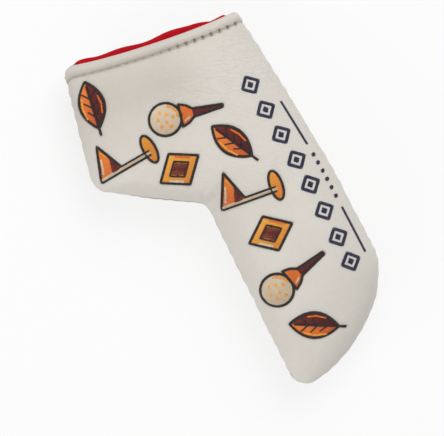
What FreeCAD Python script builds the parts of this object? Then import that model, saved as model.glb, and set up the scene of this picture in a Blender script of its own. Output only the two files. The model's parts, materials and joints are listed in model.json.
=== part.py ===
import FreeCAD, Part
import math
import os

# Padded head cover for a blade putter, lying on its back panel.
# X runs from the toe of the head pocket to the mouth on the heel side, Y from the sole to the top
# of the neck, and Z is the thickness. All lengths are in millimetres.
# Two padded walls, front and back, meet all round at a turned seam that lies in one level plane.
# Each wall is nested layers of one shape: leather outside, foam, then the red lining inside.

Vector = FreeCAD.Vector

# Outline of the seam in plan
TOE_FOOT_X = 22.4          # where the sole ends and the slanted toe begins
TOE_FOOT_Y = 7.9
TOE_TOP_X = 1.0            # where the toe meets the top of the pocket
TOE_TOP_Y = 54.0
TOE_BULGE = 6.0            # how far the toe seam bows out past a straight line
SOLE_TURN_X = 35.0         # the lowest stretch of the sole begins here
SOLE_BEND_X = 82.0         # from here the sole climbs gently to the mouth
SOLE_BEND_Y = 0.6
MOUTH_FOOT_X = 158.2       # lower corner of the mouth, before rounding
MOUTH_FOOT_Y = 9.2
MOUTH_TOP_X = 168.6        # upper corner of the mouth, before rounding
MOUTH_TOP_Y = 87.8
NECK_PEAK_X = 113.9        # outer corner of the neck
NECK_PEAK_Y = 98.6
NECK_FOOT_X = 88.3         # inner corner where the neck leaves the pocket
POCKET_TOP_Y = 57.2
SOLE_TURN_RADIUS = 22.0
SOLE_BEND_RADIUS = 260.0
NECK_FOOT_RADIUS = 7.0
NECK_PEAK_RADIUS = 9.0
MOUTH_FOOT_RADIUS = 3.5
MOUTH_TOP_RADIUS = 7.0
CORNER_REACH = 0.14        # share of the cover's length over which the mouth's corners draw in

# Thickness of the cover
SEAM_LEVEL = 20.0          # height of the seam plane above the surface it lies on
FRONT_BELLY = 24.0         # front face above the seam at the fullest part of the pocket
BACK_BELLY = 23.6          # back face below the seam before it flattens where it rests
REST_SOFTNESS = 3.0        # depth over which the back face flattens
REST_PRESS = 0.25          # the leather is worn this much flatter where it rests
MOUTH_HALF = 10.6          # half of the thickness at the mouth
TOE_RISE = 0.30            # share of the sole's length over which the toe end rounds off
BELLY_END = 0.52           # share of the sole's length at which the cover begins to thin
EDGE_FULLNESS = 0.30       # how boxy the rounded edges are
NECK_THINNING = 0.45       # how much of the extra fullness the top of the neck loses

# Layers of the wall
LEATHER = 1.2
FOAM = 3.0
LINING = 1.2
LAYER_GAP = 0.1
SEAM_ALLOWANCE = 6.0       # width of the turned-in edge of each outer panel
SEAM_OVERLAP = 0.6         # where the turned-in edge starts inside the leather

# Mouth
HEM_WIDTH = 4.6
HEM_PUFF = 0.5             # the bead of the hem stands this far above the leather
BACK_OVERHANG = 2.4        # the back lip reaches this far past the front one
LIP_DEPTH = 24.0           # from the mouth in to the fold of each lip
LIP_SPAN = 50.0            # length of the mouth that folds open
LIP_SLIT = 0.3
TAPE_SPAN = 42.0
TAPE_WIDTH = 12.0
TAPE_SETBACK = 5.0         # from the front of the mouth in to the tape
TAPE_THICKNESS = 1.3

# Stitches
THREAD_RADIUS = 0.35
HEM_STITCH_LENGTH = 2.7
HEM_STITCH_PITCH = 3.8
SEAM_STITCH_PITCH = 5.0
SEAM_STITCH_INSET = 3.6
SEAM_STITCH_HEAD = 0.4     # the lock stitch stands this far out of each seam allowance
TAPE_STITCH_LENGTH = 2.2
TAPE_STITCH_PITCH = 3.2
TAPE_STITCH_INSET = 1.2
THREAD_GAP = 0.05

# Embroidery
EMBROIDERY = 0.7
EMBROIDERY_GAP = 0.05
BORDER_INSET = 12.5        # from the sole to the middle of the border
BORDER_LOZENGE = 9.0
BORDER_PITCH = 11.0
BORDER_START = 0.09        # shares of the sole's length between which the border runs
BORDER_END = 0.77
RULE_INSET = 5.0           # from the sole to the broken rule under the border
RULE_WIDTH = 1.0
RULE_START = 0.15
RULE_END = 0.68
RULE_BREAK = 0.22          # share of the sole's length left between the two halves for the dots
DOT_RADIUS = 0.9
DOT_PITCH = 4.0

PATH_STEPS = 900
ALONG_SAMPLES = 52
ACROSS_SAMPLES = 22
TOE_CLUSTER = 0.15
TALL = 60.0                # taller than the cover, for the cutting prisms

FRONT = 1
BACK = -1


def smooth_step(value):
    value = min(max(value, 0.0), 1.0)
    return value * value * (3.0 - 2.0 * value)


def smooth_min(value, limit, softness):
    mix = max(softness - abs(value - limit), 0.0) / softness
    return min(value, limit) - mix * mix * softness / 4.0


class SeamPath:
    """A run of straight lines joined by tangent arcs, read by the share of its length."""

    def __init__(self, corners):
        edges = []
        start = Vector(corners[0][0], corners[0][1], 0)
        for index in range(1, len(corners) - 1):
            corner = Vector(corners[index][0], corners[index][1], 0)
            following = Vector(corners[index + 1][0], corners[index + 1][1], 0)
            back = (Vector(corners[index - 1][0], corners[index - 1][1], 0) - corner).normalize()
            ahead = (following - corner).normalize()
            half_angle = back.getAngle(ahead) / 2.0
            reach = corners[index][2] / math.tan(half_angle)
            middle = (back + ahead).normalize()
            centre_distance = corners[index][2] / math.sin(half_angle)
            arc_start = corner + back * reach
            arc_end = corner + ahead * reach
            arc_middle = corner + middle * (centre_distance - corners[index][2])
            edges.append(Part.LineSegment(start, arc_start).toShape())
            edges.append(Part.Arc(arc_start, arc_middle, arc_end).toShape())
            start = arc_end
        last = Vector(corners[-1][0], corners[-1][1], 0)
        edges.append(Part.LineSegment(start, last).toShape())
        wire = Part.Wire(edges)
        self.length = wire.Length
        self.points = wire.discretize(Number=PATH_STEPS + 1)

    def point(self, share):
        place = min(max(share, 0.0), 1.0) * PATH_STEPS
        index = min(int(place), PATH_STEPS - 1)
        return self.points[index] + (self.points[index + 1] - self.points[index]) * (place - index)

    def direction(self, share):
        step = 6.0 / PATH_STEPS
        return (self.point(share + step) - self.point(share - step)).normalize()


mouth_rise = (Vector(MOUTH_TOP_X, MOUTH_TOP_Y, 0) - Vector(MOUTH_FOOT_X, MOUTH_FOOT_Y, 0)).normalize()
mouth_out = Vector(mouth_rise.y, -mouth_rise.x, 0)
mouth_angle = math.degrees(math.atan2(mouth_out.y, mouth_out.x))

sole_seam = SeamPath([
    (TOE_FOOT_X, TOE_FOOT_Y, 0),
    (SOLE_TURN_X, 0.0, SOLE_TURN_RADIUS),
    (SOLE_BEND_X, SOLE_BEND_Y, SOLE_BEND_RADIUS),
    (MOUTH_FOOT_X, MOUTH_FOOT_Y, 0),
])
top_seam = SeamPath([
    (TOE_TOP_X, TOE_TOP_Y, 0),
    (NECK_FOOT_X, POCKET_TOP_Y, NECK_FOOT_RADIUS),
    (NECK_PEAK_X, NECK_PEAK_Y, NECK_PEAK_RADIUS),
    (MOUTH_TOP_X, MOUTH_TOP_Y, 0),
])
mouth_middle = (sole_seam.point(1.0) + top_seam.point(1.0)) * 0.5
mouth_length = (top_seam.point(1.0) - sole_seam.point(1.0)).Length
HEM_START = 1.0 - HEM_WIDTH / sole_seam.length


def top_share(share):
    """The top seam's share paired with the sole's, so that lines across stay level with the mouth."""
    return share + (1.0 - sole_seam.length / top_seam.length) * share * (1.0 - share)


def inset_point(seam, share, toward, depth):
    """A seam's point, moved 'depth' into the cover along the line to the opposite seam."""
    point = seam.point(share)
    inward = (toward - point).normalize()
    heading = seam.direction(share)
    slant = abs(inward.x * heading.y - inward.y * heading.x)
    return point + inward * (depth / max(slant, 0.55))


def corner_draw(distance, radius):
    """How far a rounded corner lies behind the mouth's straight edge, this far from its end."""
    if distance >= radius:
        return 0.0
    return radius - math.sqrt(radius ** 2 - (radius - distance) ** 2)


def toe_start(depth):
    return max(depth, 0.0) / sole_seam.length


def wall_point(side, depth, share, across):
    """A point of the wall, 'depth' under its outer face.

    share runs from the toe to the mouth and across from the sole seam to the top seam, both 0 to 1.
    """
    low = inset_point(sole_seam, share, top_seam.point(top_share(share)), depth)
    high = inset_point(top_seam, top_share(share), sole_seam.point(share), depth)
    blend = (1.0 - math.cos(math.pi * across)) / 2.0
    point = low + (high - low) * blend
    width = (high - low).Length
    draw = corner_draw(width * blend, MOUTH_FOOT_RADIUS)
    draw += corner_draw(width * (1.0 - blend), MOUTH_TOP_RADIUS)
    point -= mouth_out * (draw * smooth_step((share - 1.0 + CORNER_REACH) / CORNER_REACH))
    arch = 4.0 * blend * (1.0 - blend)
    toe_line = (high - low).normalize()
    point += Vector(-toe_line.y, toe_line.x, 0) * (TOE_BULGE * arch * (1.0 - share) ** 4)
    if side == BACK:
        point += mouth_out * (BACK_OVERHANG * arch * smooth_step((share - 0.75) / 0.25))
    rise = min((share - toe_start(depth)) / (TOE_RISE - toe_start(depth)), 1.0)
    toe_round = math.sqrt(max(1.0 - (1.0 - rise) ** 2, 0.0))
    belly = FRONT_BELLY if side == FRONT else BACK_BELLY
    thinning = smooth_step((share - BELLY_END) / (1.0 - BELLY_END))
    neck = 1.0 - NECK_THINNING * smooth_step((point.y - 0.7 * POCKET_TOP_Y) / (0.6 * POCKET_TOP_Y))
    fullness = MOUTH_HALF + (belly - MOUTH_HALF) * (1.0 - thinning) * neck - depth
    edge = math.sin(math.pi * across) * (1.0 + EDGE_FULLNESS * math.cos(math.pi * across) ** 2)
    height = fullness * toe_round * edge
    if side == BACK:
        height = smooth_min(height, SEAM_LEVEL + REST_PRESS - depth, REST_SOFTNESS)
        height = max(height, 0.0) if 0.0 < across < 1.0 and rise > 0.0 else 0.0
    return Vector(point.x, point.y, SEAM_LEVEL + side * height)


def shares(start, end):
    """Sample places along the cover, closer together where they begin at the toe."""
    if start > 0.2:
        count = max(int(ALONG_SAMPLES * (end - start)), 4)
        return [start + (end - start) * step / count for step in range(count + 1)]
    places = []
    for step in range(ALONG_SAMPLES + 1):
        part = step / ALONG_SAMPLES
        places.append(start + (end - start) * part * part / (part + TOE_CLUSTER) * (1.0 + TOE_CLUSTER))
    return places


def spline_through(points, parameters):
    curve = Part.BSplineCurve()
    curve.interpolate(Points=points, Parameters=parameters)
    return curve


def wall_surface(side, depth, start, end):
    """A smooth surface through sampled points: first a curve across at each place, then along."""
    across_places = [step / ACROSS_SAMPLES for step in range(ACROSS_SAMPLES + 1)]
    ribs = []
    for share in shares(start, end):
        row = [wall_point(side, depth, share, across) for across in across_places]
        ribs.append(spline_through(row, across_places))
    along_places = [float(step) for step in range(len(ribs))]
    rib_poles = [rib.getPoles() for rib in ribs]
    lines = [spline_through([poles[index] for poles in rib_poles], along_places)
             for index in range(len(rib_poles[0]))]
    line_poles = [line.getPoles() for line in lines]
    poles = [[column[index] for column in line_poles] for index in range(len(line_poles[0]))]
    surface = Part.BSplineSurface()
    surface.buildFromPolesMultsKnots(
        poles, lines[0].getMultiplicities(), ribs[0].getMultiplicities(),
        lines[0].getKnots(), ribs[0].getKnots(), False, False, lines[0].Degree, ribs[0].Degree)
    return surface


def border_edges(surface):
    """The four edges of a surface: toe end, mouth end, sole side, top side."""
    first_u, last_u, first_v, last_v = surface.bounds()
    curves = [surface.uIso(first_u), surface.uIso(last_u), surface.vIso(first_v), surface.vIso(last_v)]
    return [curve.toShape() for curve in curves]


def joining_edges(first, second):
    edges = []
    for end in (0, -1):
        edges.append(Part.makeLine(first.Vertexes[end].Point, second.Vertexes[end].Point))
    return edges


def wall_layer(side, outer_depth, inner_depth, start, end):
    """A closed solid between two depths of one wall; 'start' is None for the toe seam."""
    outer_start = toe_start(outer_depth) if start is None else start
    inner_start = toe_start(inner_depth) if start is None else start
    outer = wall_surface(side, outer_depth, outer_start, end)
    inner = wall_surface(side, inner_depth, inner_start, end)
    faces = [outer.toShape(), inner.toShape()]
    pairs = list(zip(border_edges(outer), border_edges(inner)))
    for index, (outer_edge, inner_edge) in enumerate(pairs):
        if index == 1 or (index == 0 and start is not None):
            faces.append(Part.makeRuledSurface(outer_edge, inner_edge))
        else:
            rim = [outer_edge, inner_edge] + joining_edges(outer_edge, inner_edge)
            faces.append(Part.Face(Part.Wire(Part.__sortEdges__(rim))))
    shell = Part.makeCompound(faces)
    shell.sewShape()
    solid = Part.Solid(shell.Shells[0])
    if solid.Volume < 0:
        solid.reverse()
    return solid


def plan_curve(points):
    curve = Part.BSplineCurve()
    curve.interpolate(points)
    return curve.toShape()


def seam_line(depth, end, across):
    start = toe_start(depth)
    points = [wall_point(FRONT, depth, share, across) for share in shares(start, end)]
    return plan_curve(points)


def toe_line(depth):
    start = toe_start(depth)
    points = [wall_point(FRONT, depth, start, step / ACROSS_SAMPLES)
              for step in range(ACROSS_SAMPLES + 1)]
    return plan_curve(points)


def seam_flange(side):
    """The turned-in edge of an outer panel, level, on its side of the seam plane."""
    edges = []
    for depth in (SEAM_OVERLAP, SEAM_ALLOWANCE):
        edges += [seam_line(depth, HEM_START, 0.0), seam_line(depth, HEM_START, 1.0), toe_line(depth)]
    for across in (0.0, 1.0):
        edges.append(Part.makeLine(wall_point(FRONT, SEAM_OVERLAP, HEM_START, across),
                                   wall_point(FRONT, SEAM_ALLOWANCE, HEM_START, across)))
    face = Part.Face(Part.Wire(Part.__sortEdges__(edges)))
    return face.extrude(Vector(0, 0, side * LEATHER))


def mouth_box(span, inner, outer, side, floor):
    """A box in line with the mouth; inner and outer are measured out from the mouth's middle."""
    base = SEAM_LEVEL + floor if side == FRONT else SEAM_LEVEL - TALL - floor
    box = Part.makeBox(outer - inner, span, TALL, Vector(inner, -span / 2.0, 0))
    box.Placement = FreeCAD.Placement(Vector(mouth_middle.x, mouth_middle.y, base),
                                      FreeCAD.Rotation(Vector(0, 0, 1), mouth_angle))
    return box


def above_seam(solid, side):
    """Trims a layer so that it stops just clear of the seam allowance and its lock stitches."""
    size = 3.0 * MOUTH_TOP_X
    trim = LEATHER + SEAM_STITCH_HEAD + LAYER_GAP
    base = SEAM_LEVEL + trim if side == FRONT else SEAM_LEVEL - trim - TALL
    return solid.common(Part.makeBox(size, size, TALL, Vector(-size / 3.0, -size / 3.0, base)))


def split_lip(solid, side):
    """Parts a layer into the wall that stays and the lip that folds."""
    reach = TALL
    lip = solid.common(mouth_box(LIP_SPAN, -LIP_DEPTH, reach, side, 0.0))
    slot = mouth_box(LIP_SPAN + 2.0 * LIP_SLIT, -LIP_DEPTH - LIP_SLIT, reach, side, -TALL / 2.0)
    return solid.cut(slot), lip


def thread(start, end, radius=THREAD_RADIUS):
    along = end - start
    return Part.makeCylinder(radius, along.Length, start, along)


def hem_stitches(side):
    """Dashes of topstitching beside the hem; returns those on the wall and those on the lip."""
    share = HEM_START - 1.5 * THREAD_RADIUS / sole_seam.length
    lift = -(THREAD_RADIUS + THREAD_GAP)
    count = 240
    places = [wall_point(side, lift, share, 0.06 + 0.88 * step / count) for step in range(count + 1)]
    wall, lip = [], []
    travelled = 0.0
    for index in range(1, len(places)):
        travelled += (places[index] - places[index - 1]).Length
        if travelled < HEM_STITCH_PITCH:
            continue
        travelled = 0.0
        along = (places[index] - places[index - 1]).normalize() * (HEM_STITCH_LENGTH / 2.0)
        distance = abs((places[index] - mouth_middle).dot(mouth_rise))
        if abs(distance - LIP_SPAN / 2.0) < HEM_STITCH_LENGTH:
            continue
        stitch = thread(places[index] - along, places[index] + along)
        (lip if distance < LIP_SPAN / 2.0 else wall).append(stitch)
    return Part.makeCompound(wall), Part.makeCompound(lip)


def perimeter_stitches():
    """Lock stitches through both seam allowances."""
    stitches = []
    reach = Vector(0, 0, LEATHER + SEAM_STITCH_HEAD)
    for across, seam in ((0.0, sole_seam), (1.0, top_seam)):
        count = int(seam.length * (HEM_START - 0.06) / SEAM_STITCH_PITCH)
        for step in range(count + 1):
            share = 0.05 + (HEM_START - 0.06) * step / count
            point = wall_point(FRONT, SEAM_STITCH_INSET, share, across)
            stitches.append(thread(point - reach, point + reach))
    toe = [wall_point(FRONT, SEAM_STITCH_INSET, toe_start(SEAM_STITCH_INSET), step / 100.0)
           for step in range(101)]
    travelled = 0.0
    for index in range(8, 93):
        travelled += (toe[index] - toe[index - 1]).Length
        if travelled >= SEAM_STITCH_PITCH:
            travelled = 0.0
            stitches.append(thread(toe[index] - reach, toe[index] + reach))
    return Part.makeCompound(stitches)


def closure_tape(side):
    lining_face = LEATHER + FOAM + LINING + 2.0 * LAYER_GAP
    layer = wall_layer(side, lining_face + LAYER_GAP, lining_face + LAYER_GAP + TAPE_THICKNESS, 0.7, 1.0)
    inner = -TAPE_SETBACK - TAPE_WIDTH
    return layer.common(mouth_box(TAPE_SPAN, inner, -TAPE_SETBACK, side, 0.0))


def tape_stitches(side):
    """Two rows of dashes along the long edges of a tape, on its inner face."""
    depth = LEATHER + FOAM + LINING + 3.0 * LAYER_GAP + TAPE_THICKNESS + THREAD_RADIUS + THREAD_GAP
    stitches = []
    count = int((TAPE_SPAN - 2.0 * TAPE_STITCH_INSET) / TAPE_STITCH_PITCH)
    for row in (-TAPE_SETBACK - TAPE_STITCH_INSET, -TAPE_SETBACK - TAPE_WIDTH + TAPE_STITCH_INSET):
        for step in range(count):
            offset = (step - (count - 1) / 2.0) * TAPE_STITCH_PITCH
            ends = []
            for end in (-0.5, 0.5):
                target = mouth_middle + mouth_out * row + mouth_rise * (offset + end * TAPE_STITCH_LENGTH)
                ends.append(point_over(side, depth, target))
            stitches.append(thread(ends[0], ends[1]))
    return Part.makeCompound(stitches)


def point_over(side, depth, target):
    """The point of a wall's face that lies over a place in plan, found by a few steps."""
    share, across = 0.9, 0.5
    small = 1e-3
    for _ in range(12):
        here = wall_point(side, depth, share, across)
        by_share = (wall_point(side, depth, share - small, across) - here) * (-1.0 / small)
        by_across = (wall_point(side, depth, share, across + small) - here) * (1.0 / small)
        miss_x, miss_y = target.x - here.x, target.y - here.y
        scale = by_share.x * by_across.y - by_share.y * by_across.x
        share += (miss_x * by_across.y - miss_y * by_across.x) / scale
        across += (by_share.x * miss_y - by_share.y * miss_x) / scale
        share = min(max(share, 0.05), 1.0)
        across = min(max(across, 0.02), 0.98)
    return wall_point(side, depth, share, across)


def polygon(points):
    """A flat face; its corners are given counter-clockwise."""
    corners = [Vector(x, y, 0) for x, y in points]
    return Part.Face(Part.makePolygon(corners + corners[:1]))


def disc(x, y, radius):
    return Part.Face(Part.Wire(Part.makeCircle(radius, Vector(x, y, 0))))


def one_face(shape):
    return shape.removeSplitter().Faces[0]


def flag_shape():
    """A pennant on a pin over the hole."""
    pole = polygon([(-4.9, -11), (-3.1, -11), (-3.1, 13), (-4.9, 13)])
    pennant = polygon([(-4.0, 3.4), (9.0, 8.2), (-4.0, 13)])
    hole = Part.Face(Part.Wire(Part.Ellipse(Vector(-2.6, -11, 0), 6.4, 2.6).toShape()))
    return one_face(pole.fuse([pennant, hole]))


def tee_shape():
    """A ball sitting on a tee."""
    ball = disc(0, 7.5, 7.2)
    tee = polygon([(-5.0, 0.8), (-3.6, -2.2), (-1.7, -4.4), (-0.5, -17.5), (0.5, -17.5), (1.7, -4.4),
                   (3.6, -2.2), (5.0, 0.8)])
    return one_face(ball.fuse([tee]))


def leaf_shape():
    """A pointed leaf with a short stalk."""
    length, width = 10.5, 5.6
    sides = [Part.Arc(Vector(-length, 0, 0), Vector(0, side * width, 0), Vector(length, 0, 0)).toShape()
             for side in (-1, 1)]
    blade = Part.Face(Part.Wire(Part.__sortEdges__(sides)))
    stalk = polygon([(-14, -0.8), (-9, -0.8), (-9, 0.8), (-14, 0.8)])
    return one_face(blade.fuse([stalk]))


def diamond_shape():
    """A lozenge."""
    return polygon([(0, -10), (8, 0), (0, 10), (-8, 0)])


SHAPES = {"flag": flag_shape, "tee": tee_shape, "leaf": leaf_shape, "diamond": diamond_shape}

# Each motif: kind, middle in plan, turn in degrees
FRONT_MOTIFS = [
    ("leaf", 22.0, 38.0, 62.0),
    ("tee", 44.0, 38.5, 14.0),
    ("diamond", 65.0, 38.0, 0.0),
    ("flag", 86.0, 38.0, -6.0),
    ("leaf", 107.0, 36.0, 28.0),
    ("diamond", 106.0, 61.0, 10.0),
    ("tee", 126.0, 50.0, -12.0),
    ("flag", 121.0, 80.0, 4.0),
    ("leaf", 147.0, 83.0, -8.0),
]
BACK_MOTIFS = [
    ("leaf", 20.0, 36.0, 62.0),
    ("tee", 129.0, 49.0, 10.0),
    ("flag", 122.0, 78.0, 0.0),
    ("leaf", 147.0, 83.5, -8.0),
]


def embroidery_skin(side):
    """A thin closed layer lying on the leather, from which the motifs are cut."""
    return wall_layer(side, -EMBROIDERY_GAP - EMBROIDERY, -EMBROIDERY_GAP, 0.03, HEM_START)


def prism(face, x, y, turn, side):
    shape = face.copy()
    base = SEAM_LEVEL + 1.0 if side == FRONT else SEAM_LEVEL - 1.0
    shape.Placement = FreeCAD.Placement(Vector(x, y, base), FreeCAD.Rotation(Vector(0, 0, 1), turn))
    return shape.extrude(Vector(0, 0, side * TALL))


def motif_group(skin, side, motifs, kind=None):
    prisms = []
    for name, x, y, turn in motifs:
        if kind is None or name == kind:
            prisms.append(prism(SHAPES[name](), x, y, turn, side))
    return Part.makeCompound([skin.common(one) for one in prisms])


def beside_sole(share, inset):
    """A place in plan this far in from the sole, and the sole's heading there in degrees."""
    heading = sole_seam.direction(share)
    middle = sole_seam.point(share) + Vector(-heading.y, heading.x, 0) * inset
    return middle, math.degrees(math.atan2(heading.y, heading.x))


def rule_prism(start, end):
    rails = []
    for offset in (-RULE_WIDTH / 2.0, RULE_WIDTH / 2.0):
        places = [beside_sole(start + (end - start) * step / 12.0, RULE_INSET + offset)[0]
                  for step in range(13)]
        rails.append(plan_curve(places))
    edges = rails + joining_edges(rails[0], rails[1])
    return prism(Part.Face(Part.Wire(Part.__sortEdges__(edges))), 0, 0, 0, FRONT)


def border_band(skin):
    """A row of lozenges along the sole, over a thin rule broken by a row of dots."""
    prisms = []
    half = BORDER_LOZENGE / 2.0
    count = int(sole_seam.length * (BORDER_END - BORDER_START) / BORDER_PITCH)
    for step in range(count + 1):
        middle, turn = beside_sole(BORDER_START + (BORDER_END - BORDER_START) * step / count, BORDER_INSET)
        lozenge = polygon([(0, -half), (half, 0), (0, half), (-half, 0)])
        prisms.append(prism(lozenge, middle.x, middle.y, turn, FRONT))
    centre = (RULE_START + RULE_END) / 2.0
    prisms.append(rule_prism(RULE_START, centre - RULE_BREAK / 2.0))
    prisms.append(rule_prism(centre + RULE_BREAK / 2.0, RULE_END))
    dots = int(RULE_BREAK * sole_seam.length / DOT_PITCH) - 1
    for step in range(dots):
        share = centre + (step - (dots - 1) / 2.0) * DOT_PITCH / sole_seam.length
        middle, turn = beside_sole(share, RULE_INSET)
        prisms.append(prism(disc(0, 0, DOT_RADIUS), middle.x, middle.y, turn, FRONT))
    return Part.makeCompound([skin.common(one) for one in prisms])


def build_wall(side):
    """The nodes of one wall, its lip included."""
    name = "front" if side == FRONT else "back"
    foam_top = LEATHER + LAYER_GAP
    foam_bottom = foam_top + FOAM
    lining_top = foam_bottom + LAYER_GAP
    lining_bottom = lining_top + LINING
    leather = wall_layer(side, 0.0, LEATHER, None, HEM_START).fuse(seam_flange(side))
    if side == BACK:
        size = 3.0 * MOUTH_TOP_X
        leather = leather.cut(Part.makeBox(size, size, TALL, Vector(-size / 3.0, -size / 3.0, -TALL)))
    hem_gap = LAYER_GAP / sole_seam.length
    foam = above_seam(wall_layer(side, foam_top, foam_bottom, None, HEM_START), side)
    hem = wall_layer(side, -HEM_PUFF, foam_bottom, HEM_START + hem_gap, 1.0)
    lining = above_seam(wall_layer(side, lining_top, lining_bottom, None, 1.0), side)
    nodes = {}
    for layer, wall_name, lip_name in (
            (leather, "outer_panel", "lip_panel"),
            (foam, "foam_pad", "lip_foam"),
            (hem, "hem", "lip_hem"),
            (lining, "lining", "lip_lining")):
        nodes[name + "_" + wall_name], nodes[name + "_" + lip_name] = split_lip(layer, side)
    nodes[name + "_hem_stitches"], nodes[name + "_lip_hem_stitches"] = hem_stitches(side)
    tape = "hook_tape" if side == FRONT else "loop_tape"
    nodes[tape] = closure_tape(side)
    nodes[tape + "_stitches"] = tape_stitches(side)
    return nodes


def build_embroidery():
    nodes = {}
    front_skin = embroidery_skin(FRONT)
    for kind in sorted(SHAPES):
        nodes["front_" + kind + "_motifs"] = motif_group(front_skin, FRONT, FRONT_MOTIFS, kind)
    nodes["front_border"] = border_band(front_skin)
    nodes["back_motifs"] = motif_group(embroidery_skin(BACK), BACK, BACK_MOTIFS)
    return nodes


def main():
    os.makedirs("parts", exist_ok=True)
    nodes = build_wall(FRONT)
    nodes.update(build_wall(BACK))
    nodes.update(build_embroidery())
    nodes["perimeter_seam_stitches"] = perimeter_stitches()
    whole = FreeCAD.BoundBox()
    for shape in nodes.values():
        whole.add(shape.optimalBoundingBox())
    for name, shape in nodes.items():
        # The origin lies under the middle of the cover, on the surface that it rests on.
        shape.translate(Vector(-whole.Center.x, -whole.Center.y, 0))
        shape.exportStep("parts/" + name + ".step")
        print("%-26s %3d solids %9.1f mm3" % (name, len(shape.Solids), shape.Volume))


main()
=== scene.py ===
import json
import math
import random

import bpy
import numpy as np
from mathutils import Matrix, Vector
from mathutils.bvhtree import BVHTree


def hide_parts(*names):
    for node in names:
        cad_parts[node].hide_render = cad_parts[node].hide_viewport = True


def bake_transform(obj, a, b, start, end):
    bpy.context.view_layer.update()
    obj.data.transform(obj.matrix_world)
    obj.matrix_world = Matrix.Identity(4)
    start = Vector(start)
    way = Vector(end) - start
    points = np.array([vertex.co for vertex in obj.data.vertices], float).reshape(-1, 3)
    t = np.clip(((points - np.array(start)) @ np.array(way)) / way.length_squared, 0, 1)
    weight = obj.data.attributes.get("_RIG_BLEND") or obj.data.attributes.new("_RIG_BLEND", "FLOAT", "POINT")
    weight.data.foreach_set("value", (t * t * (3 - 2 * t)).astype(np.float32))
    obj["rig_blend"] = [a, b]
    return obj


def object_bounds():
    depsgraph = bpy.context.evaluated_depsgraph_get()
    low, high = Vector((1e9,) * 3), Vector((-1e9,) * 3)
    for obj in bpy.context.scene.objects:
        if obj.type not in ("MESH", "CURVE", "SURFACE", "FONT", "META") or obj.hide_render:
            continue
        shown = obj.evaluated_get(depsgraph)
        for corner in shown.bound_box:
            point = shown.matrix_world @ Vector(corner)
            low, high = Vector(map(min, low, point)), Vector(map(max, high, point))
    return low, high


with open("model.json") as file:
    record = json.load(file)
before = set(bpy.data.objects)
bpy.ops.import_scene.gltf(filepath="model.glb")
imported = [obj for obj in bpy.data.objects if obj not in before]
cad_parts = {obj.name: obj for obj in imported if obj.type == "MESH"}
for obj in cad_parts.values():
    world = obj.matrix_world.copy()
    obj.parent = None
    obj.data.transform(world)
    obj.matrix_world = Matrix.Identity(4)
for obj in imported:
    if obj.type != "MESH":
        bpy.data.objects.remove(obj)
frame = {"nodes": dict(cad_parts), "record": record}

# A padded head cover for a blade putter, lying on its back panel with its mouth at the +X side.
# Shapes are worked out in the cover's own plan, in millimetres: x from the toe, y from the sole,
# z up from the surface. place() moves them into the frame, in metres.

cad_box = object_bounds()
MM = 0.001
FRONT = 1
BACK = -1
NAMES = {FRONT: "front", BACK: "back"}
LIPS = {FRONT: "front_lip", BACK: "back_lip"}

# Outline of the seam: x, y and the radius of the round at that corner
SOLE_CORNERS = [(21.8, 7.2, 0), (35.0, 0.0, 22.0), (84.0, 2.0, 260.0), (158.2, 9.2, 0)]
TOP_CORNERS = [(-1.8, 56.6, 0), (88.3, 57.2, 8.0), (113.9, 98.6, 9.0), (168.6, 87.8, 0)]
TOE_BULGE = 6.0
MOUTH_FOOT_RADIUS = 2.6
MOUTH_TOP_RADIUS = 5.0
CORNER_REACH = 0.14
TOE_TOP_RADIUS = 4.8
TOE_REACH = 0.15
LEAST_SLANT = 0.55         # the flattest a line across the cover counts as meeting its seam

# Thickness
SEAM_LEVEL = 20.0
FRONT_BELLY = 24.0
BACK_BELLY = 23.6
REST_SOFTNESS = 3.0
MOUTH_HALF = 10.6
TOE_RISE = 0.30
BELLY_END = 0.52
EDGE_FULLNESS = 0.30
NECK_THINNING = 0.45
FRONT_SKEW = 0.12          # the front wall's crest lies towards the sole
POCKET_TOP = 57.2

# Layers of the wall, from the leather's face inwards
LEATHER = 1.1
PADDING_TOP = 1.35
PADDING = 2.8
LINING_TOP = 4.45
LINING = 1.0
LINING_LAP = 0.7           # how far each half's sewn edge crosses the seam
TAPE_TOP = 5.65
TAPE = 1.1
EDGE_PULL = 0.6            # how far stitching draws in the sewn edge of the leather
LEATHER_ROWS = 250         # from the toe to the hem, and then the hem's own rows
LEATHER_COLUMNS = 170
SET_IN_ROWS = 30           # beside the seam the inside of the leather is set in over so many rows
SET_IN_COLUMNS = 14        # and columns
OPEN_ROWS = 60             # but not where the mouth is open

# Mouth
HEM_WIDTH = 4.6
BEAD_TOP = -0.9
BEAD_FOOT = 4.35
GROOVE_AT = 5.1
GROOVE_DEPTH = 1.25
GROOVE_END = 10.0
BACK_OVERHANG = 2.9        # the back wall's edge stands out past the front one
CORNER_SHORTFALL = 1.2     # but falls short of it beside the sole
UPPER_FALL = 0.8           # and stands out less above the middle
NECK_FALL = 2.4            # and least at the neck's end
OVERHANG_WAVE = 0.5
MOUTH_DIP = 3.9            # the mouth's edge is drawn back this far between its corners
LIP_DEPTH = 24.0
FOLD_SOFTNESS = 9.0
MOUTH_REACH = 39.0
LIP_FULL = 14.0
CREASE_LEAN = math.radians(25.0)
TAPE_SPAN = 42.0
TAPE_NEAR = 5.5
TAPE_FAR = 17.0

# Threads: their radii, and how their stitches are laid
SEWING_THREAD = 0.27
EMBROIDERY_THREAD = 0.2
TOPSTITCH_FIRST = -36.6
TOPSTITCH_PITCH = 3.8
TOPSTITCH_GAP = 0.9
TOPSTITCH_PROFILE = ((0.0, -0.45), (0.14, 0.05), (0.5, 0.14), (0.86, 0.05), (1.0, -0.45))
FILL_ROW = 0.36
FILL_STITCH = 4.2
COLUMN_PITCH = 0.36
UNDER = 0.16               # how high a fill stands over the leather
OVER = 0.36                # and a fill that lies on another
OUTLINE_LIFT = 0.50
ACCENT_LIFT = 0.55

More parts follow.
